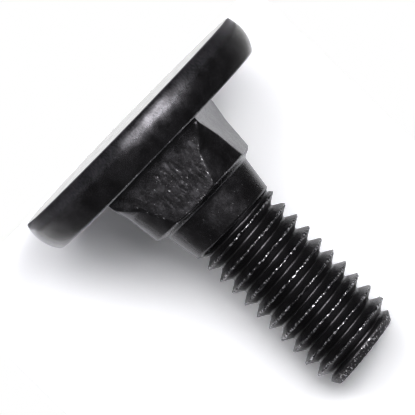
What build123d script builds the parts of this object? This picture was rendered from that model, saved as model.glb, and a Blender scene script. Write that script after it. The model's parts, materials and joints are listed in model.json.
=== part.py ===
"""Square neck bolt with a large flat head, standing on its head.

Millimetres, +Z from the head to the threaded end, origin at the middle of the head's top face.
The flats of the neck are square to X and Y.
"""

import os
from math import ceil, cos, radians, sin, sqrt, tan

from build123d import *

# Head: a flat disc with a barrel-shaped rim and broken edges, left by upsetting
head_diameter = 17.3
head_thickness = 2.5
rim_bulge = 0.18
rim_bulge_height = 1.1
crown_break = 0.22
bearing_break = 0.55

# Square neck: full corners at the head, which thin out towards the shank
# A corner's "proud" is how far it reaches past half the width across flats
neck_across_flats = 7.4
neck_length = 3.62
neck_root_fillet = 0.25
corner_land = 0.15
corner_bend_depth = 0.95
corner_bend_proud = 1.2
corner_break_depth = 1.75
corner_break_proud = 0.72
corner_break_fillet = 0.8
neck_end_proud = 0.32
neck_end_fillet = 0.25

# Shoulder: the plain cone between the neck and the thread
shoulder_step = 0.5
shoulder_length = 2.03
shoulder_taper = 0.35
shoulder_fillet = 0.35

# Thread: M6 by 1, right-hand, rolled, with the crest at the low end of its tolerance
thread_diameter = 5.9
thread_pitch = 1.0
thread_flank_angle = 60
thread_phase = 0.43
runout_length = 0.4

# End: sheared a little out of square, with a coned point
under_head_length = 17.1
end_skew_angle = 5.5
end_skew_direction = 348
point_radial = 0.6
point_axial = 0.9

# Places along Z
neck_end = head_thickness + neck_length
shoulder_start = neck_end + shoulder_step
shoulder_end = shoulder_start + shoulder_length
bolt_end = head_thickness + under_head_length

# Radii of the turned outline, which just clears the neck's corners next to the head
corner_clearance = 0.02
half_flats = neck_across_flats / 2
corner_full_radius = half_flats * sqrt(2) + corner_clearance
thread_radius = thread_diameter / 2

# Thread form: metric, with a crest flat of an eighth of the pitch and a root flat of a sixth
fundamental_height = thread_pitch / 2 / tan(radians(thread_flank_angle / 2))
thread_depth = fundamental_height * 17 / 24
root_radius = thread_radius - thread_depth
groove_width = thread_pitch * 7 / 8
cut_margin = thread_pitch / 12
flank_run = tan(radians(thread_flank_angle / 2))
root_half = groove_width / 2 - thread_depth * flank_run
mouth_half = groove_width / 2 + cut_margin * flank_run
groove_start = shoulder_end + (thread_phase - 1) * thread_pitch
groove_turns = ceil((bolt_end - groove_start) / thread_pitch) + 1

# One turn of the thread's groove, swept along its helix
with BuildPart() as groove_turn:
    with BuildLine() as helix:
        Helix(pitch=thread_pitch, height=thread_pitch, radius=root_radius, center=(0, 0, groove_start))
    with BuildSketch(Plane(origin=(0, 0, groove_start), x_dir=(1, 0, 0), z_dir=(0, -1, 0))):
        with BuildLine():
            Polyline(
                (root_radius, -root_half),
                (thread_radius + cut_margin, -mouth_half),
                (thread_radius + cut_margin, mouth_half),
                (root_radius, root_half),
                close=True,
            )
        make_face()
    sweep(path=helix.wire(), is_frenet=True)

# Threaded length: a plain blank, sheared and pointed, then cut by one turn of groove after another
with BuildPart() as threaded_end:
    with BuildSketch(Plane.XY.offset(shoulder_start)):
        Circle(thread_radius)
    extrude(amount=bolt_end + thread_pitch - shoulder_start)
    skew = radians(end_skew_angle)
    towards = radians(end_skew_direction)
    shear = Plane(
        origin=(0, 0, bolt_end),
        z_dir=(-sin(skew) * cos(towards), -sin(skew) * sin(towards), cos(skew)),
    )
    split(bisect_by=shear, keep=Keep.BOTTOM)
    end_face = threaded_end.faces().sort_by(Axis.Z)[-1]
    chamfer(end_face.edges(), length=point_radial, length2=point_axial, reference=end_face)
    with Locations(*[(0, 0, turn * thread_pitch) for turn in range(groove_turns)]):
        add(groove_turn.part, mode=Mode.SUBTRACT)

with BuildPart() as square_neck_bolt:
    # Neck, shoulder and the thread's run-out, turned as one outline
    with BuildSketch(Plane.XZ):
        with BuildLine():
            FilletPolyline(
                (corner_full_radius, head_thickness + neck_root_fillet + corner_land),
                (half_flats + corner_bend_proud, head_thickness + corner_bend_depth),
                (half_flats + corner_break_proud, head_thickness + corner_break_depth),
                (half_flats + neck_end_proud, neck_end),
                (thread_radius + shoulder_taper, shoulder_start),
                (thread_radius, shoulder_end),
                radius=[corner_break_fillet, corner_break_fillet, neck_end_fillet, shoulder_fillet],
            )
            Polyline(
                (thread_radius, shoulder_end),
                (root_radius, shoulder_end + runout_length),
                (0, shoulder_end + runout_length),
                (0, head_thickness / 2),
                (corner_full_radius, head_thickness / 2),
                (corner_full_radius, head_thickness + neck_root_fillet + corner_land),
            )
        make_face()
    revolve(axis=Axis.Z)

    # Flats of the neck
    with BuildSketch():
        Rectangle(neck_across_flats, neck_across_flats)
    extrude(amount=bolt_end, mode=Mode.INTERSECT)

    # Head
    with BuildSketch(Plane.XZ):
        with BuildLine():
            rim_edge = head_diameter / 2 - rim_bulge
            Polyline(
                (rim_edge, head_thickness - bearing_break),
                (rim_edge - bearing_break, head_thickness),
                (0, head_thickness),
                (0, 0),
                (rim_edge - crown_break, 0),
                (rim_edge, crown_break),
            )
            ThreePointArc(
                (rim_edge, crown_break),
                (head_diameter / 2, rim_bulge_height),
                (rim_edge, head_thickness - bearing_break),
            )
        make_face()
    revolve(axis=Axis.Z)

    # Fillet where the flats meet the head
    fillet(square_neck_bolt.edges().filter_by(GeomType.LINE).filter_by(Plane.XY), neck_root_fillet)

    add(threaded_end.part)

square_neck_bolt.part.label = "square_neck_bolt"

os.makedirs("parts", exist_ok=True)
export_step(square_neck_bolt.part, "parts/square_neck_bolt.step")
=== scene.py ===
"""Square neck bolt in black oxide steel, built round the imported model.

The bolt is one closed mesh, laid out as rings that climb from the middle of the head's top face to
the middle of the sheared end. Along the thread the rings turn into a helix. Sizes are in metres.
"""

import json
import math

import bmesh
import bpy
import numpy as np
from mathutils import Matrix, Vector, noise


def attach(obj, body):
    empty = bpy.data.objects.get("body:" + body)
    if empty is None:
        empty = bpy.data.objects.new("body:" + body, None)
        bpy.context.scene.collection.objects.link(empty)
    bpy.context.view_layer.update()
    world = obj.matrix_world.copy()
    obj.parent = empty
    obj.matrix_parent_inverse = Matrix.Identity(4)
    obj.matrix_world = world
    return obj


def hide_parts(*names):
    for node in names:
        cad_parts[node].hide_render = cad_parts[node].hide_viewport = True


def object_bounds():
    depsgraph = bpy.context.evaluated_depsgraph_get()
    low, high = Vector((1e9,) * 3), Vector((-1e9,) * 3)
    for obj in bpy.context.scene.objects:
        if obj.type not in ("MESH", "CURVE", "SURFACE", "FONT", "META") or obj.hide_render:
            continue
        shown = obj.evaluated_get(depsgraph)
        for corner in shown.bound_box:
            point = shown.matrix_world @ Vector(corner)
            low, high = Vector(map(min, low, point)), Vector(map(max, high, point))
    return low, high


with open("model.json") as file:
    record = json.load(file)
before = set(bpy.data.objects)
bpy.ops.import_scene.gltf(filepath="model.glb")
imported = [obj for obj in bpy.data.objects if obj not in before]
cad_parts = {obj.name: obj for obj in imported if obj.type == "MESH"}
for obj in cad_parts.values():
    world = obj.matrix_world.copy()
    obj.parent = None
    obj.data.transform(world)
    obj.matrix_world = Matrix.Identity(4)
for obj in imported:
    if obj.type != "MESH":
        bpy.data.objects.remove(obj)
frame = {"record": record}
cad_low, cad_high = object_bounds()

bl_info = {
    "name": "Square Neck Bolt",
    "version": (1, 0, 0),
    "blender": (4, 5, 0),
    "location": "View3D > Sidebar > Bolt",
    "description": "Builds a blackened square neck bolt, its finish and a pale studio round it",
    "category": "Object",
}

BODY = "root"
(BOLT_ROW,) = frame["record"]["subparts"]
MM = 0.001
FULL_TURN = 2 * math.pi


def length(name, description, size_mm):
    """A length property, written in millimetres and kept in metres."""
    return bpy.props.FloatProperty(
        name=name,
        description=description,
        default=size_mm * MM,
        min=0.0,
        unit="LENGTH",
        precision=5,
    )


def angle(name, description, degrees):
    """An angle property, written in degrees."""
    return bpy.props.FloatProperty(
        name=name, description=description, default=math.radians(degrees), unit="ROTATION"
    )


def colour(name, description, hex_colour):
    """A colour property, written as an sRGB hex value."""
    return bpy.props.FloatVectorProperty(
        name=name,
        description=description,
        default=linear(hex_colour),
        size=3,
        subtype="COLOR",
        min=0.0,
        max=1.0,
    )


def linear(hex_colour):
    """Turns an sRGB hex colour into linear red, green and blue."""
    parts = [int(hex_colour[i:i + 2], 16) / 255 for i in (1, 3, 5)]
    return tuple(p / 12.92 if p <= 0.04045 else ((p + 0.055) / 1.055) ** 2.4 for p in parts)


class BoltSizes(bpy.types.PropertyGroup):
    """Sizes of the bolt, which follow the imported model."""

    head_diameter: bpy.props.FloatProperty(
        name="Head diameter",
        description="Diameter of the head, taken from the packed model",
        default=cad_high.x - cad_low.x,
        unit="LENGTH",
        precision=5,
    )
    head_thickness: length("Head thickness", "From the head's top face to its bearing face", 2.5)
    crown_radius: length("Crown edge radius", "Rounding between the top face and the rim", 0.3)
    bearing_radius: length(
        "Bearing edge radius", "Rounding between the rim and the bearing face", 0.35
    )
    crown_tilt: angle("Crown tilt", "Lean of the barrel-shaped rim where the crown edge starts", 15)
    bearing_tilt: angle(
        "Bearing tilt", "Lean of the barrel-shaped rim where the bearing edge starts", 35
    )

    neck_across_flats: length("Neck across flats", "Width of the square neck", 7.4)
    neck_length: length("Neck length", "From the bearing face to the end of the flats", 3.62)
    neck_root_fillet: length("Neck root fillet", "Rounding where the flats meet the head", 0.25)
    corner_rounding: length(
        "Corner rounding", "Softness of the edges between flats and trimmed corners", 0.05
    )
    corner_wear: length("Corner wear", "Softness of those edges at the flat that faces +X", 0.16)
    corner_clearance: length(
        "Corner clearance", "How far the turned outline clears the full corners", 0.02
    )
    corner_land: length("Corner land", "Length of the full corners past the root fillet", 0.15)
    corner_bend_depth: length(
        "Corner bend", "From the bearing face to where the corners first thin out", 0.95
    )
    corner_bend_proud: length(
        "Corner bend height", "Reach of the corners there, past the flats' half width", 1.2
    )
    corner_break_depth: length(
        "Corner break", "From the bearing face to where the corners bend again", 1.75
    )
    corner_break_proud: length("Corner break height", "Reach of the corners there", 0.72)
    neck_end_proud: length("Neck end height", "Reach of the corners at the end of the flats", 0.32)
    outline_softness: length(
        "Outline softness", "Rounding of the bends in the turned outline", 0.08
    )
    forging_depth: length(
        "Forging marks", "Depth of the marks that the square die left on the flats", 0.022
    )

    step_lead: length(
        "Step lead", "From the end of the flats to the step down to the shoulder", 0.08
    )
    step_length: length("Step length", "Length of the step down to the shoulder", 0.3)
    shoulder_taper: length(
        "Shoulder taper", "How much wider the shoulder's radius is at the neck", 0.35
    )

    thread_diameter: length("Thread diameter", "Diameter over the thread's crests", 5.9)
    thread_pitch: length("Thread pitch", "Rise of the thread in one turn", 1.0)
    thread_start: length(
        "Thread start", "Height of the end of the shoulder above the top face", 8.65
    )
    thread_phase: bpy.props.FloatProperty(
        name="Thread phase",
        description="Share of a pitch that the first groove is moved along the bolt",
        default=0.43,
        min=0.0,
        max=1.0,
        subtype="FACTOR",
    )
    runout_length: length("Run-out", "Length over which the first groove reaches its depth", 0.4)
    crest_proud: length(
        "Crest height", "How far the rolled crest's rounded top stands proud", 0.025
    )
    crest_rounding: length("Crest rounding", "Softness of the rolled crest", 0.06)
    root_rounding: length("Root rounding", "Softness of the bottom of the groove", 0.13)
    crest_wander: length(
        "Crest unevenness", "How far the rolled crest wanders in and out and along", 0.06
    )

    bolt_end: length("Bolt end", "Height of the middle of the sheared end above the top face", 19.6)
    end_skew: angle("End skew", "How far the sheared end leans out of square", 5.5)
    end_skew_direction: angle(
        "End skew direction", "Side of the bolt that the sheared end rises to", 348
    )
    end_crown: length("End crown", "How far the middle of the sheared end stands proud", 0.08)
    point_radial: length("Point depth", "How far the coned point cuts in from the crests", 0.55)
    point_axial: length("Point length", "How far the coned point reaches along the bolt", 0.9)


class BoltFinish(bpy.types.PropertyGroup):
    """Colours of the steel."""

    oxide: colour("Black oxide", "Colour of the blackened steel seen square on", "#2C2B2D")
    thin_oxide: colour(
        "Thin oxide", "Colour of the blackened steel where the oxide is thinnest", "#414043"
    )
    bare_steel: colour(
        "Bare steel", "Colour of steel that shows through where the oxide is worn", "#B4B3B7"
    )


class StudioSettings(bpy.types.PropertyGroup):
    """Camera, lamps and pale surfaces."""

    camera_azimuth: angle(
        "Camera azimuth", "Turn of the camera round the bolt, from looking along +Y", -12.2
    )
    camera_elevation: angle("Camera elevation", "Camera height above the horizon", -2.3)
    camera_roll: angle("Camera roll", "How far the picture is turned clockwise", 134.05)
    camera_distance: length(
        "Camera distance", "From the camera to the point that it aims at", 500.0
    )
    frame_width: length("Frame width", "Width of the picture at the bolt", 24.41)
    aim_height: length("Aim height", "Height of the point in the middle of the picture", 6.97)
    aim_side: bpy.props.FloatProperty(
        name="Aim side",
        description="How far the middle of the picture lies beside the bolt's axis",
        default=0.37 * MM,
        unit="LENGTH",
        precision=5,
    )
    backdrop_lean: angle("Backdrop lean", "Elevation that the backdrop's face points to", -17.1)
    paper: colour("Paper", "Colour of the floor and the backdrop", "#F1F1F4")
    exposure: bpy.props.FloatProperty(
        name="Paper exposure",
        description="How much brighter than its colour the backdrop is seen, so that it is white",
        default=1.48,
        min=1.0,
    )
    floor_exposure: bpy.props.FloatProperty(
        name="Floor exposure",
        description="The same for the floor, which the low lamps barely light",
        default=3.0,
        min=1.0,
    )


# Points round each ring of the mesh
COLUMNS = 300

# Steps along the crown edge, the barrel and the bearing edge of the head
HEAD_ARC_STEPS = (6, 10, 8)

# Rings of the flat faces, as shares of the way: out over the top face, in over the bearing face,
# and as shares of the radius in over the sheared end
TOP_FACE_SHARES = (0.12, 0.3, 0.5, 0.68, 0.82, 0.92, 0.97)
BEARING_FACE_SHARES = (0.12, 0.3, 0.5, 0.7, 0.87)
END_FACE_SHARES = (1.0, 0.96, 0.88, 0.74, 0.56, 0.36, 0.16)

# Rings along the neck's root fillet, the neck, the step and the shoulder
FILLET_RINGS = 5
NECK_RINGS = 45
STEP_RINGS = 13
SHOULDER_RINGS = 12

# Rings of one pitch of the thread, as shares of the pitch from the groove's middle
THREAD_STEPS = (
    -0.5, -0.47, -0.44, -0.4, -0.3, -0.2, -0.12, -0.06, 0.0, 0.06, 0.12, 0.2, 0.3, 0.4, 0.44, 0.47
)

# Metric thread form: the lean of a flank, the groove's width at the crests as a share of the pitch,
# and its depth as a share of the height of the sharp triangle
FLANK_LEAN = math.radians(30)
MOUTH_SHARE = 7 / 8
DEPTH_SHARE = 17 / 24

# Points of the mesh that lie closer than this, in metres, are one point
SAME_POINT = 1e-8

# How rough each kind of surface is, from 0 for drawn steel to 1 for torn steel
ROUGH_SHARES = {"torn": 1.0, "groove": 0.6, "crest": 0.25, "forged": 0.15, "shoulder": 0.1}

# How far the oxide of each kind of surface is worn, from 0 for whole to 1 for half bare. On the
# bends the bare steel is partly wear and partly a painted highlight
WEAR_AND_HIGHLIGHT_SHARES = {
    "crest": 0.85, "torn": 0.7, "corner_edge": 0.7, "bend": 0.7, "forged": 0.45, "shoulder": 0.3
}

# Lamps: azimuth and elevation in degrees as seen from the bolt, and lengths in metres
LAMPS = {
    "key_softbox": dict(
        azimuth=-30, elevation=-8, distance=0.25, width=0.13, height=0.07, radiance=14.4
    ),
    "long_strip": dict(
        azimuth=-28, elevation=-10, distance=0.1, width=0.078, height=0.015, radiance=120.0
    ),
    "low_softbox": dict(
        azimuth=-12, elevation=-30, distance=0.25, width=0.13, height=0.13, radiance=6.3
    ),
    "side_softbox": dict(
        azimuth=-68, elevation=5, distance=0.25, width=0.26, height=0.13, radiance=2.2
    ),
}


def smooth_min(a, b, softness):
    """The smaller of two lengths, rounded over where they meet."""
    return (a + b - np.sqrt((a - b) ** 2 + softness ** 2)) / 2


def ramp(values, start, end):
    """Rises evenly from 0 at one value to 1 at another, and stays there."""
    return np.clip((values - start) / (end - start), 0, 1)


def scatter(points, size, seed, pace_along=1.0):
    """Soft noise from -1 to 1 at each point, with features of a size.

    A pace along the bolt of less than 1 draws the features out along it.
    """
    moved = points * (1, 1, pace_along) / size + seed
    return np.array([noise.noise(Vector(p)) for p in moved])


class BoltShape:
    """The bolt's surface as radii round its axis, worked out from its sizes."""

    def __init__(self, sizes):
        self.sizes = sizes
        self.turns = np.arange(COLUMNS) * FULL_TURN / COLUMNS
        self.half_flats = sizes.neck_across_flats / 2
        self.neck_end = sizes.head_thickness + sizes.neck_length
        self.crest = sizes.thread_diameter / 2
        self.flank_run = math.tan(FLANK_LEAN)
        self.half_groove = sizes.thread_pitch * MOUTH_SHARE / 2
        self.thread_depth = sizes.thread_pitch / 2 / self.flank_run * DEPTH_SHARE
        self.root = self.crest - self.thread_depth
        self.groove_start = sizes.thread_start + (sizes.thread_phase - 1) * sizes.thread_pitch
        self.end_edge = self.crest - sizes.point_radial
        self.end_limit = cad_high.z - 0.01 * MM
        # The thread's rings, known once all rings are laid out
        self.helix_first = self.helix_end = 0

    def head_outline(self):
        """Radius and height of the head's rim: three arcs that run into each other."""
        s = self.sizes
        rise_low = s.crown_radius * (1 - math.sin(s.crown_tilt))
        rise_high = s.bearing_radius * (1 - math.sin(s.bearing_tilt))
        barrel_height = s.head_thickness - rise_low - rise_high
        barrel = barrel_height / (math.sin(s.crown_tilt) + math.sin(s.bearing_tilt))
        middle = (s.head_diameter / 2 - barrel, rise_low + barrel * math.sin(s.crown_tilt))
        quarter = math.pi / 2
        arcs = (
            (s.crown_radius, -s.crown_tilt, -quarter, -s.crown_tilt),
            (barrel, 0, -s.crown_tilt, s.bearing_tilt),
            (s.bearing_radius, s.bearing_tilt, s.bearing_tilt, quarter),
        )
        points = []
        for (radius, joint, start, end), steps in zip(arcs, HEAD_ARC_STEPS):
            centre_r = middle[0] + (barrel - radius) * math.cos(joint)
            centre_z = middle[1] + (barrel - radius) * math.sin(joint)
            for lean in np.linspace(start, end, steps + 1)[1 if points else 0:]:
                radial, axial = radius * math.cos(lean), radius * math.sin(lean)
                points.append((centre_r + radial, centre_z + axial))
        return points

    def turned_radius(self, height):
        """Radius of the turned outline of neck, step and shoulder at a height."""
        s = self.sizes
        seat = s.head_thickness
        step = self.neck_end + s.step_lead
        full_corner = self.half_flats * math.sqrt(2) + s.corner_clearance
        outline = (
            (seat, full_corner),
            (seat + s.neck_root_fillet + s.corner_land, full_corner),
            (seat + s.corner_bend_depth, self.half_flats + s.corner_bend_proud),
            (seat + s.corner_break_depth, self.half_flats + s.corner_break_proud),
            (step, self.half_flats + s.neck_end_proud),
            (step + s.step_length, self.crest + s.shoulder_taper),
            (s.thread_start, self.crest),
        )
        heights, radii = zip(*outline)
        # The mean over a short length rounds the bends
        samples = 7
        shifts = np.linspace(-s.outline_softness, s.outline_softness, samples)
        return np.mean([np.interp(height + shift, heights, radii) for shift in shifts], axis=0)

    def square_radius(self, turns, grow=0.0):
        """Distance from the axis to the flats of the neck, along each angle."""
        quarter = math.pi / 2
        off_flat = (turns + quarter / 2) % quarter - quarter / 2
        return (self.half_flats + grow) / np.cos(off_flat)

    def thread_radius(self, turns, height):
        """Radius of the threaded length, with its groove, run-out and coned point."""
        s = self.sizes
        along = (height - self.groove_start) / s.thread_pitch - turns / FULL_TURN
        groove = np.round(along)
        off_groove = np.abs(along - groove) * s.thread_pitch
        flank = (self.half_groove - off_groove) / self.flank_run
        # Rounded over the crest, which stands proud, and over the root
        depth = -smooth_min(-flank, s.crest_proud, s.crest_rounding)
        depth = smooth_min(depth, self.thread_depth, s.root_rounding)
        depth = np.where(groove < 0, 0.0, depth)
        runout = self.crest - (height - s.thread_start) * self.thread_depth / s.runout_length
        cut = np.maximum(self.crest - depth, np.minimum(runout, self.crest))
        return np.minimum(cut, self.point_radius(turns, height))

    def shear_height(self, turns, radius):
        """Height of the skewed plane of the shear at a distance from the axis."""
        s = self.sizes
        return s.bolt_end + math.tan(s.end_skew) * radius * np.cos(turns - s.end_skew_direction)

    def end_height(self, turns, radius):
        """Height of the sheared end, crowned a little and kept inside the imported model."""
        crown = self.sizes.end_crown * (1 - (radius / self.end_edge) ** 2)
        return np.minimum(self.shear_height(turns, radius) + np.maximum(crown, 0), self.end_limit)

    def point_radius(self, turns, height):
        """Radius of the coned point, which follows the skewed end."""
        s = self.sizes
        top = self.shear_height(turns, self.end_edge)
        foot = self.shear_height(turns, self.crest) - s.point_axial
        return self.end_edge + s.point_radial * np.clip((top - height) / (top - foot), 0, None)

    def rings(self):
        """Radii and heights of every ring of the mesh, from the top face to the sheared end."""
        rings = self.head_rings() + self.neck_rings()
        self.helix_first = len(rings)
        rings += self.thread_rings()
        self.helix_end = len(rings)
        for share in END_FACE_SHARES:
            radius = self.end_edge * share
            rings.append((np.full(COLUMNS, radius), self.end_height(self.turns, radius)))
        return rings

    def head_rings(self):
        """The top face, the rim and the bearing face, in to the square foot of the fillet."""
        s = self.sizes
        level = np.ones(COLUMNS)
        outline = self.head_outline()
        rings = [(level * outline[0][0] * share, level * 0.0) for share in TOP_FACE_SHARES]
        rings += [(level * radius, level * height) for radius, height in outline]
        foot = self.neck_ring(s.head_thickness, s.neck_root_fillet)
        for share in BEARING_FACE_SHARES:
            rings.append((outline[-1][0] * (1 - share) + foot * share, level * s.head_thickness))
        return rings

    def neck_rings(self):
        """The neck's root fillet, the neck, the step and the shoulder."""
        s = self.sizes
        level = np.ones(COLUMNS)
        fillet = s.neck_root_fillet
        rings = []
        for lean in np.linspace(0, math.pi / 2, FILLET_RINGS):
            grow = fillet * (1 - math.sin(lean))
            height = s.head_thickness + fillet * (1 - math.cos(lean))
            rings.append((self.neck_ring(height, grow), level * height))
        step_end = self.neck_end + s.step_lead + s.step_length + s.outline_softness
        for start, end, count in (
            (s.head_thickness + fillet, self.neck_end, NECK_RINGS),
            (self.neck_end, step_end, STEP_RINGS),
            (step_end, s.thread_start, SHOULDER_RINGS),
        ):
            for height in np.linspace(start, end, count + 1)[1:]:
                rings.append((self.neck_ring(height), level * height))
        return rings

    def thread_rings(self):
        """Rings that climb with the helix, and flatten where they meet the shoulder and the end."""
        s = self.sizes
        rim = self.end_height(self.turns, self.end_edge)
        first = math.floor((s.thread_start - self.groove_start) / s.thread_pitch) - 1
        last = math.ceil((s.bolt_end - self.groove_start) / s.thread_pitch) + 1
        widest_step = max(np.diff(THREAD_STEPS)) * s.thread_pitch
        rings = []
        for turn in range(first, last + 1):
            for step in THREAD_STEPS:
                climb = turn + step + self.turns / FULL_TURN
                height = self.groove_start + climb * s.thread_pitch
                # One ring lies wholly on the shoulder and one on the end, to close the mesh
                if height[0] + s.thread_pitch + widest_step <= s.thread_start:
                    continue
                if height[0] - widest_step >= rim.max():
                    continue
                height = np.clip(height, s.thread_start, rim)
                rings.append((self.thread_radius(self.turns, height), height))
        return rings

    def ring_after_turn(self, ring):
        """The ring that a ring runs into after one turn: in the thread, one pitch further on."""
        if ring < self.helix_first or ring >= self.helix_end:
            return ring
        return min(ring + len(THREAD_STEPS), self.helix_end - 1)

    def neck_ring(self, height, grow=0.0):
        """Radii of the neck at a height: the square, trimmed by the turned outline."""
        turned = self.turned_radius(height) + grow
        faces_x = np.cos(self.turns) > np.abs(np.sin(self.turns))
        softness = np.where(faces_x, self.sizes.corner_wear, self.sizes.corner_rounding)
        return smooth_min(self.square_radius(self.turns, grow), turned, softness)


def bolt_mesh(sizes):
    """The bolt's closed mesh, with layers for how rough each point is and how worn its oxide.

    The worn layer also paints highlight lines along two bends, as bare steel.
    """
    shape = BoltShape(sizes)
    rings = shape.rings()
    radii = np.array([ring[0] for ring in rings])
    heights = np.array([ring[1] for ring in rings])
    turns = np.broadcast_to(shape.turns, radii.shape)
    points = np.stack([radii * np.cos(turns), radii * np.sin(turns), heights], axis=-1)
    points = points.reshape(-1, 3)
    points, rough, worn = weather(points, shape)

    count = len(rings)
    bottom, top = len(points), len(points) + 1
    end_middle = (0.0, 0.0, float(shape.end_height(0.0, 0.0)))
    vertices = [tuple(p) for p in points] + [(0.0, 0.0, 0.0), end_middle]
    faces = []
    for i in range(COLUMNS):
        j = (i + 1) % COLUMNS
        faces.append((bottom, j, i))
        for ring in range(count - 1):
            low, high = ring, ring + 1
            if j == 0:
                low, high = shape.ring_after_turn(low), shape.ring_after_turn(high)
            faces.append((
                ring * COLUMNS + i, low * COLUMNS + j, high * COLUMNS + j, (ring + 1) * COLUMNS + i
            ))
        last = (count - 1) * COLUMNS
        faces.append((last + i, last + j, top))

    mesh = bpy.data.meshes.new("blackened_bolt")
    mesh.from_pydata(vertices, [], faces)
    for name, values in (("rough", rough), ("worn", worn)):
        layer = mesh.attributes.new(name, "FLOAT", "POINT")
        layer.data.foreach_set("value", np.append(values, [0.0, values[-1]]).astype(np.float32))
    merge_collapsed(mesh)
    mesh.polygons.foreach_set("use_smooth", [True] * len(mesh.polygons))
    return mesh


def merge_collapsed(mesh):
    """Joins the ring points that fell together where the helix flattens out."""
    work = bmesh.new()
    work.from_mesh(mesh)
    bmesh.ops.remove_doubles(work, verts=work.verts, dist=SAME_POINT)
    bmesh.ops.dissolve_degenerate(work, edges=work.edges, dist=SAME_POINT)
    work.to_mesh(mesh)
    work.free()


def weather(points, shape):
    """Adds the marks of forging, rolling and shearing to the points of the mesh.

    It gives back the moved points, and how rough and how worn each of them is. Along two bends the
    wear is partly a painted highlight.
    """
    s = shape.sizes
    z = points[:, 2]
    around = np.arctan2(points[:, 1], points[:, 0]) % FULL_TURN
    radius = np.hypot(points[:, 0], points[:, 1])
    outwards = np.stack([np.cos(around), np.sin(around), np.zeros_like(z)], axis=-1)
    upwards = np.array([0.0, 0.0, 1.0])

    # The square die dragged along the flats of the neck and left them rough, most of all those that
    # face +Y and -Y. The marks start in a ragged line past the root fillet
    on_flat = 1 - ramp(shape.square_radius(around) - radius, 0, 0.06 * MM)
    past_fillet = s.head_thickness + s.neck_root_fillet + s.corner_land
    ragged = scatter(points, size=0.25 * MM, seed=7.9, pace_along=0.1)
    marks_start = past_fillet + (0.4 + 0.35 * ragged) * MM
    dragged = np.where(np.abs(points[:, 1]) > np.abs(points[:, 0]), 1.0, 0.14)
    forged = dragged * on_flat * ramp(z, marks_start, marks_start + 0.15 * MM)
    forged = forged * (1 - ramp(z, shape.neck_end - 0.2 * MM, shape.neck_end + 0.1 * MM))
    drag_marks = scatter(points, size=0.18 * MM, seed=11.3, pace_along=0.3)
    lumps = scatter(points, size=0.45 * MM, seed=4.7)
    push = -forged * (0.5 + 0.5 * drag_marks + 0.5 * lumps) * s.forging_depth

    # Rolling squeezed the crests up unevenly
    threaded = ramp(z, s.thread_start, s.thread_start + 0.3 * MM)
    on_crest = threaded * ramp(radius, shape.crest - 0.1 * MM, shape.crest)
    in_and_out = scatter(points, size=0.22 * MM, seed=2.1)
    in_and_out = in_and_out + 0.6 * scatter(points, size=0.5 * MM, seed=8.2)
    along = scatter(points, size=0.3 * MM, seed=3.4)
    push = push + on_crest * in_and_out * s.crest_wander

    # Upsetting left the rim a little uneven
    rim_dent = 0.02 * MM
    below_bearing_face = 1 - ramp(z, s.head_thickness - 0.2 * MM, s.head_thickness)
    rim = below_bearing_face * ramp(radius, 0, 7.5 * MM)
    push = push - rim * (0.5 + 0.5 * scatter(points, size=1.6 * MM, seed=5.5)) * rim_dent

    # The shear tore the steel across the end and its coned point
    point_tear = 0.06 * MM
    end_tear = 0.05 * MM
    on_point = 1 - ramp(shape.point_radius(around, z) - radius, 0, 0.08 * MM)
    on_end = ramp(z - shape.end_height(around, radius), -0.05 * MM, 0)
    torn = np.maximum(on_point * threaded, on_end)
    tears = 0.5 + 0.5 * scatter(points, size=0.3 * MM, seed=6.6)
    push = push - on_point * threaded * tears * point_tear

    rise = on_crest * along * s.crest_wander - on_end * tears * end_tear
    moved = points + outwards * push[:, None] + upwards * rise[:, None]

    # Handling rubbed the edges of the trimmed corners, and the bends where the neck steps down and
    # where the rim meets the bearing face, which lies outside a radius of 7.8 mm. The bare steel
    # along these two bends is partly that wear and partly a painted highlight, where the edges
    # catch the light
    on_neck = ramp(z, s.head_thickness, past_fillet)
    on_neck = on_neck * (1 - ramp(z, shape.neck_end, shape.neck_end + 0.1 * MM))
    past_edge = np.abs(shape.square_radius(around) - shape.turned_radius(z))
    corner_edge = on_neck * (1 - ramp(past_edge, 0.02 * MM, 0.07 * MM))
    from_neck_bend = np.abs(z - shape.neck_end - s.step_lead)
    from_rim_bend = np.abs(z - s.head_thickness + 0.08 * MM) + 0.03 * MM
    from_rim_bend = from_rim_bend + ramp(radius, 7.8 * MM, 7.6 * MM) * MM
    # Painted highlight and wear: bare steel along the neck's step and the rim's bearing edge
    bend = 1 - ramp(np.minimum(from_neck_bend, from_rim_bend), 0.03 * MM, 0.12 * MM)

    kinds = {
        "forged": forged,
        "shoulder": ramp(z, shape.neck_end, shape.neck_end + s.step_lead) * (1 - threaded),
        "crest": on_crest,
        "groove": threaded * (1 - on_crest) * ramp(radius, shape.root, shape.root + 0.1 * MM),
        "torn": torn,
        "corner_edge": corner_edge,
        "bend": bend,
    }
    rough = np.maximum.reduce([share * kinds[kind] for kind, share in ROUGH_SHARES.items()])
    worn = np.maximum.reduce([share * kinds[kind] for kind, share in WEAR_AND_HIGHLIGHT_SHARES.items()])
    return moved, rough, worn


def add_node(tree, kind, inputs=None, **settings):
    """Adds a node with its settings, and sets or links each named input."""
    node = tree.nodes.new(kind)
    for name, value in settings.items():
        setattr(node, name, value)
    for socket, value in (inputs or {}).items():
        if isinstance(value, bpy.types.NodeSocket):
            tree.links.new(value, node.inputs[socket])
        else:
            node.inputs[socket].default_value = value
    return node


def new_material(name):
    """An empty node material and its tree."""
    material = bpy.data.materials.new(name)
    material.use_nodes = True
    material.node_tree.nodes.clear()
    return material, material.node_tree


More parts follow.
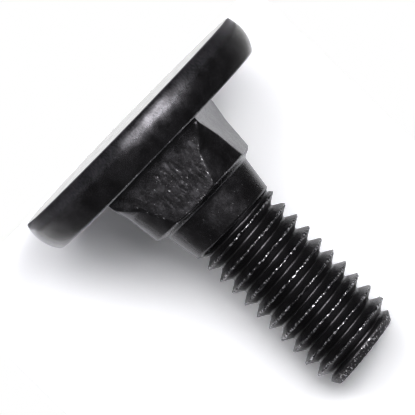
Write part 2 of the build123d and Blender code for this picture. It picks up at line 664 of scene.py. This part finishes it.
def black_oxide_steel(finish):
    """Cold-forged steel with a black oxide finish.

    The hot bath leaves a thin satin layer of magnetite: nearly black seen square on, pale where
    light grazes it, and rubbed through to specks of bare steel on crests and forging marks.
    """
    # The real grain of the scale and the oxide is about 0.03 mm across, and is drawn three times as
    # coarse to show
    grain_mm = 0.09
    grain_height = 0.03 * MM
    speck_mm = 0.1
    blotch_mm = 0.9
    # Forging and rolling drew the grain out along the bolt
    drawn_out = (1, 1, 0.45)

    material, tree = new_material("black_oxide_steel")
    place = add_node(tree, "ShaderNodeTexCoord").outputs["Object"]
    millimetres = add_node(
        tree, "ShaderNodeVectorMath", {0: place, "Scale": 1 / MM}, operation="SCALE"
    ).outputs["Vector"]
    along = add_node(
        tree, "ShaderNodeVectorMath", {0: millimetres, 1: drawn_out}, operation="MULTIPLY"
    ).outputs["Vector"]
    rough = add_node(tree, "ShaderNodeAttribute", attribute_name="rough").outputs["Fac"]
    worn = add_node(tree, "ShaderNodeAttribute", attribute_name="worn").outputs["Fac"]
    grain = add_node(
        tree, "ShaderNodeTexNoise", {"Vector": along, "Scale": 1 / grain_mm, "Detail": 3.0}
    ).outputs["Fac"]
    blotches = add_node(
        tree, "ShaderNodeTexNoise", {"Vector": millimetres, "Scale": 1 / blotch_mm, "Detail": 3.0}
    ).outputs["Fac"]

    # Specks of bare steel show where their noise rises above a bar, which sinks with the wear, and
    # along two bends with the painted highlight that the same layer carries
    specks = add_node(
        tree, "ShaderNodeTexNoise", {"Vector": along, "Scale": 1 / speck_mm, "Detail": 1.0}
    ).outputs["Fac"]
    bar = add_node(
        tree, "ShaderNodeMapRange", {"Value": worn, "To Min": 0.85, "To Max": 0.51}
    ).outputs["Result"]
    above_bar = add_node(
        tree, "ShaderNodeMath", {0: specks, 1: bar}, operation="SUBTRACT"
    ).outputs[0]
    bare = add_node(
        tree, "ShaderNodeMapRange", {"Value": above_bar, "From Max": 0.06}
    ).outputs["Result"]

    # The oxide is thicker and thinner in blotches, and lies thick and dark on rough steel
    mottle = add_node(
        tree, "ShaderNodeMath", {0: grain, 1: blotches}, operation="ADD"
    ).outputs[0]
    mottle = add_node(
        tree, "ShaderNodeMath", {0: rough, 1: -1.5, 2: mottle}, operation="MULTIPLY_ADD"
    ).outputs[0]
    thin = add_node(
        tree, "ShaderNodeMapRange", {"Value": mottle, "From Min": 0.8, "From Max": 1.2}
    ).outputs["Result"]
    oxide = add_node(
        tree,
        "ShaderNodeMix",
        {"Factor": thin, "A": (*finish.oxide, 1), "B": (*finish.thin_oxide, 1)},
        data_type="RGBA",
    ).outputs["Result"]
    surface_colour = add_node(
        tree,
        "ShaderNodeMix",
        {"Factor": bare, "A": oxide, "B": (*finish.bare_steel, 1)},
        data_type="RGBA",
    ).outputs["Result"]

    # Satin where the steel is smooth, matt and bumpy where it is rough
    satin = add_node(
        tree,
        "ShaderNodeMapRange",
        {"Value": blotches, "From Min": 0.3, "From Max": 0.7, "To Min": 0.17, "To Max": 0.26},
    ).outputs["Result"]
    roughness = add_node(
        tree, "ShaderNodeMix", {"Factor": rough, "A": satin, "B": 0.5}, data_type="FLOAT"
    ).outputs["Result"]
    relief = add_node(
        tree, "ShaderNodeMapRange", {"Value": rough, "To Min": 0.3, "To Max": 1.4}
    ).outputs["Result"]
    bump = add_node(
        tree, "ShaderNodeBump", {"Height": grain, "Strength": relief, "Distance": grain_height}
    ).outputs["Normal"]
    steel = add_node(
        tree,
        "ShaderNodeBsdfPrincipled",
        {"Base Color": surface_colour, "Metallic": 0.95, "Roughness": roughness, "Normal": bump},
    )
    add_node(tree, "ShaderNodeOutputMaterial", {"Surface": steel.outputs["BSDF"]})
    return material


def studio_paper(name, paper, exposure):
    """Matt coated paper: it scatters light evenly, and looks white as in a product photo."""
    material, tree = new_material(name)
    ray = add_node(tree, "ShaderNodeLightPath").outputs
    facing_away = add_node(tree, "ShaderNodeNewGeometry").outputs["Backfacing"]
    # Camera, mirror and glass rays see the paper exposed to white, and its shadows stay
    seen = ray["Is Camera Ray"]
    for other in ("Is Glossy Ray", "Is Transmission Ray"):
        seen = add_node(
            tree, "ShaderNodeMath", {0: seen, 1: ray[other]}, operation="ADD", use_clamp=True
        ).outputs[0]
    exposed = [exposure * part for part in paper]
    tone = add_node(
        tree,
        "ShaderNodeMix",
        {"Factor": seen, "A": (*paper, 1), "B": (*exposed, 1)},
        data_type="RGBA",
    ).outputs["Result"]
    matt = add_node(tree, "ShaderNodeBsdfDiffuse", {"Color": tone}).outputs[0]
    clear = add_node(tree, "ShaderNodeBsdfTransparent").outputs[0]
    one_sided = add_node(tree, "ShaderNodeMixShader", {0: facing_away, 1: matt, 2: clear})
    add_node(tree, "ShaderNodeOutputMaterial", {"Surface": one_sided.outputs[0]})
    return material


def direction(azimuth, elevation):
    """Unit vector from the bolt towards an azimuth and elevation, counted as the camera's are."""
    return Vector((
        math.sin(azimuth) * math.cos(elevation),
        -math.cos(azimuth) * math.cos(elevation),
        math.sin(elevation),
    ))


def rightwards(azimuth):
    """Level unit vector to the right, as a camera at an azimuth sees it."""
    return Vector((math.cos(azimuth), math.sin(azimuth), 0))


def studio_world(studio):
    """White for the camera, and for reflections a room that brightens behind and below the bolt."""
    world = bpy.data.worlds.new("studio")
    bpy.context.scene.world = world
    world.use_nodes = True
    tree = world.node_tree
    tree.nodes.clear()
    ray = add_node(tree, "ShaderNodeLightPath").outputs
    looking = add_node(tree, "ShaderNodeTexCoord").outputs["Generated"]
    behind = -direction(studio.camera_azimuth, 0)
    side = rightwards(studio.camera_azimuth)
    brightest = behind + side * 0.4 - Vector((0, 0, 0.7))
    towards = add_node(
        tree, "ShaderNodeVectorMath", {0: looking, 1: brightest}, operation="DOT_PRODUCT"
    ).outputs["Value"]
    share = add_node(
        tree, "ShaderNodeMapRange", {"Value": towards, "From Min": -0.65, "From Max": 1.15}
    ).outputs["Result"]
    share = add_node(tree, "ShaderNodeMath", {0: share, 1: 2.8}, operation="POWER").outputs[0]
    room = add_node(
        tree, "ShaderNodeMapRange", {"Value": share, "To Min": 0.16, "To Max": 1.6}
    ).outputs["Result"]
    # The room barely lights the paper, so that its shadows stay
    strength = room
    for rays, seen in (("Is Diffuse Ray", 0.02), ("Is Camera Ray", 1.0)):
        strength = add_node(
            tree,
            "ShaderNodeMix",
            {"Factor": ray[rays], "A": strength, "B": seen},
            data_type="FLOAT",
        ).outputs["Result"]
    sky = add_node(tree, "ShaderNodeBackground", {"Color": (1, 1, 1, 1), "Strength": strength})
    add_node(tree, "ShaderNodeOutputWorld", {"Surface": sky.outputs["Background"]})


def softbox(name, aim, azimuth, elevation, distance, width, height, radiance):
    """A rectangular lamp that faces the bolt and isn't seen by the camera."""
    light = bpy.data.lights.new(name, "AREA")
    light.shape = "RECTANGLE"
    light.size = width
    light.size_y = height
    light.energy = radiance * math.pi * width * height
    lamp = bpy.data.objects.new(name, light)
    bpy.context.scene.collection.objects.link(lamp)
    away = direction(math.radians(azimuth), math.radians(elevation))
    lamp.location = aim + away * distance
    lamp.rotation_euler = (-away).to_track_quat("-Z", "Y").to_euler()
    lamp.visible_camera = False
    return lamp


def sheet_of_paper(name, middle, across, along, material):
    """A flat rectangle of paper, which faces the way that across, crossed with along, points."""
    corners = [middle + across * i + along * j for i, j in ((-1, -1), (1, -1), (1, 1), (-1, 1))]
    mesh = bpy.data.meshes.new(name)
    mesh.from_pydata([tuple(c) for c in corners], [], [(0, 1, 2, 3)])
    mesh.materials.append(material)
    sheet = bpy.data.objects.new(name, mesh)
    bpy.context.scene.collection.objects.link(sheet)
    return sheet


class BOLT_OT_camera(bpy.types.Operator):
    """Place the camera at the photograph's viewing angle"""

    bl_idname = "bolt.camera"
    bl_label = "Camera"

    def execute(self, context):
        studio = context.scene.bolt_studio
        back = direction(studio.camera_azimuth, studio.camera_elevation)
        level = rightwards(studio.camera_azimuth)
        upright = back.cross(level)
        roll = studio.camera_roll
        right = level * math.cos(roll) + upright * math.sin(roll)
        up = upright * math.cos(roll) - level * math.sin(roll)
        data = bpy.data.cameras.new("camera")
        data.lens = data.sensor_width * studio.camera_distance / studio.frame_width
        camera = bpy.data.objects.new("camera", data)
        context.scene.collection.objects.link(camera)
        aim = Vector((0, 0, studio.aim_height)) + level * studio.aim_side
        turn = Matrix((right, up, back)).transposed().to_4x4()
        camera.matrix_world = Matrix.Translation(aim + back * studio.camera_distance) @ turn
        data.clip_start = studio.camera_distance / 100
        data.clip_end = studio.camera_distance * 10
        context.scene.camera = camera
        return {"FINISHED"}


class BOLT_OT_bolt(bpy.types.Operator):
    """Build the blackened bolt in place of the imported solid"""

    bl_idname = "bolt.bolt"
    bl_label = "Bolt"

    def execute(self, context):
        mesh = bolt_mesh(context.scene.bolt_sizes)
        mesh.materials.append(black_oxide_steel(context.scene.bolt_finish))
        bolt = bpy.data.objects.new("blackened_bolt", mesh)
        context.scene.collection.objects.link(bolt)
        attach(bolt, BODY)
        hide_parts(BOLT_ROW["node"])
        return {"FINISHED"}


class BOLT_OT_studio(bpy.types.Operator):
    """Set out the floor, the backdrop, the lamps and the surroundings"""

    bl_idname = "bolt.studio"
    bl_label = "Studio"

    def execute(self, context):
        studio = context.scene.bolt_studio
        backdrop_paper = studio_paper("backdrop_paper", studio.paper, studio.exposure)
        floor_paper = studio_paper("floor_paper", studio.paper, studio.floor_exposure)
        # The head sinks into the floor a little, so that their faces don't coincide
        floor_height = 0.03 * MM
        half_floor = 0.3
        floor = sheet_of_paper(
            "floor",
            Vector((0, 0, floor_height)),
            Vector((half_floor, 0, 0)),
            Vector((0, half_floor, 0)),
            floor_paper,
        )
        # The key lamp stands lower than the bolt and shines up through the floor's thin sheet
        floor.visible_shadow = False

        # The rim and the threaded end rest on the backdrop, as they lie in the photograph
        sizes = context.scene.bolt_sizes
        backdrop_gap = 0.4 * MM
        half_height = 0.03
        half_width = 0.013
        level = rightwards(studio.camera_azimuth)
        slope = direction(studio.camera_azimuth, studio.backdrop_lean + math.pi / 2)
        behind = -direction(studio.camera_azimuth, 0)
        foot = behind * (sizes.head_diameter / 2 + backdrop_gap)
        middle = foot + slope * half_height + level * 2 * MM
        sheet_of_paper("backdrop", middle, level * half_width, slope * half_height, backdrop_paper)

        aim = Vector((0, 0, studio.aim_height))
        lamps = {name: softbox(name, aim, **settings) for name, settings in LAMPS.items()}
        # Two lamps fill in the paper's shadows alone, because the steel would show them as
        # highlights. The long strip is there for the highlight alone, because it would blur the
        # shadows
        lamps["low_softbox"].visible_glossy = False
        lamps["side_softbox"].visible_glossy = False
        lamps["long_strip"].visible_diffuse = False
        studio_world(studio)
        context.scene.view_settings.view_transform = "Standard"
        return {"FINISHED"}


class BOLT_PT_panel(bpy.types.Panel):
    """Sizes, colours and steps of the bolt"""

    bl_label = "Square Neck Bolt"
    bl_idname = "BOLT_PT_panel"
    bl_space_type = "VIEW_3D"
    bl_region_type = "UI"
    bl_category = "Bolt"

    def draw(self, context):
        for name in GROUPS:
            group = getattr(context.scene, name)
            box = self.layout.box()
            for field in group.__annotations__:
                box.prop(group, field)
        for operator in STEPS:
            self.layout.operator(operator.bl_idname)


STEPS = (BOLT_OT_camera, BOLT_OT_bolt, BOLT_OT_studio)
GROUPS = {"bolt_sizes": BoltSizes, "bolt_finish": BoltFinish, "bolt_studio": StudioSettings}


def register():
    """Registers the property groups, the operators and the panel."""
    for name, group in GROUPS.items():
        bpy.utils.register_class(group)
        setattr(bpy.types.Scene, name, bpy.props.PointerProperty(type=group))
    for kind in (*STEPS, BOLT_PT_panel):
        bpy.utils.register_class(kind)


def unregister():
    """Removes them again."""
    for kind in (BOLT_PT_panel, *reversed(STEPS)):
        bpy.utils.unregister_class(kind)
    for name, group in GROUPS.items():
        delattr(bpy.types.Scene, name)
        bpy.utils.unregister_class(group)


def main():
    """Builds the whole scene."""
    register()
    bpy.ops.bolt.camera()
    bpy.ops.bolt.bolt()
    bpy.ops.bolt.studio()


if __name__ == "__main__":
    main()
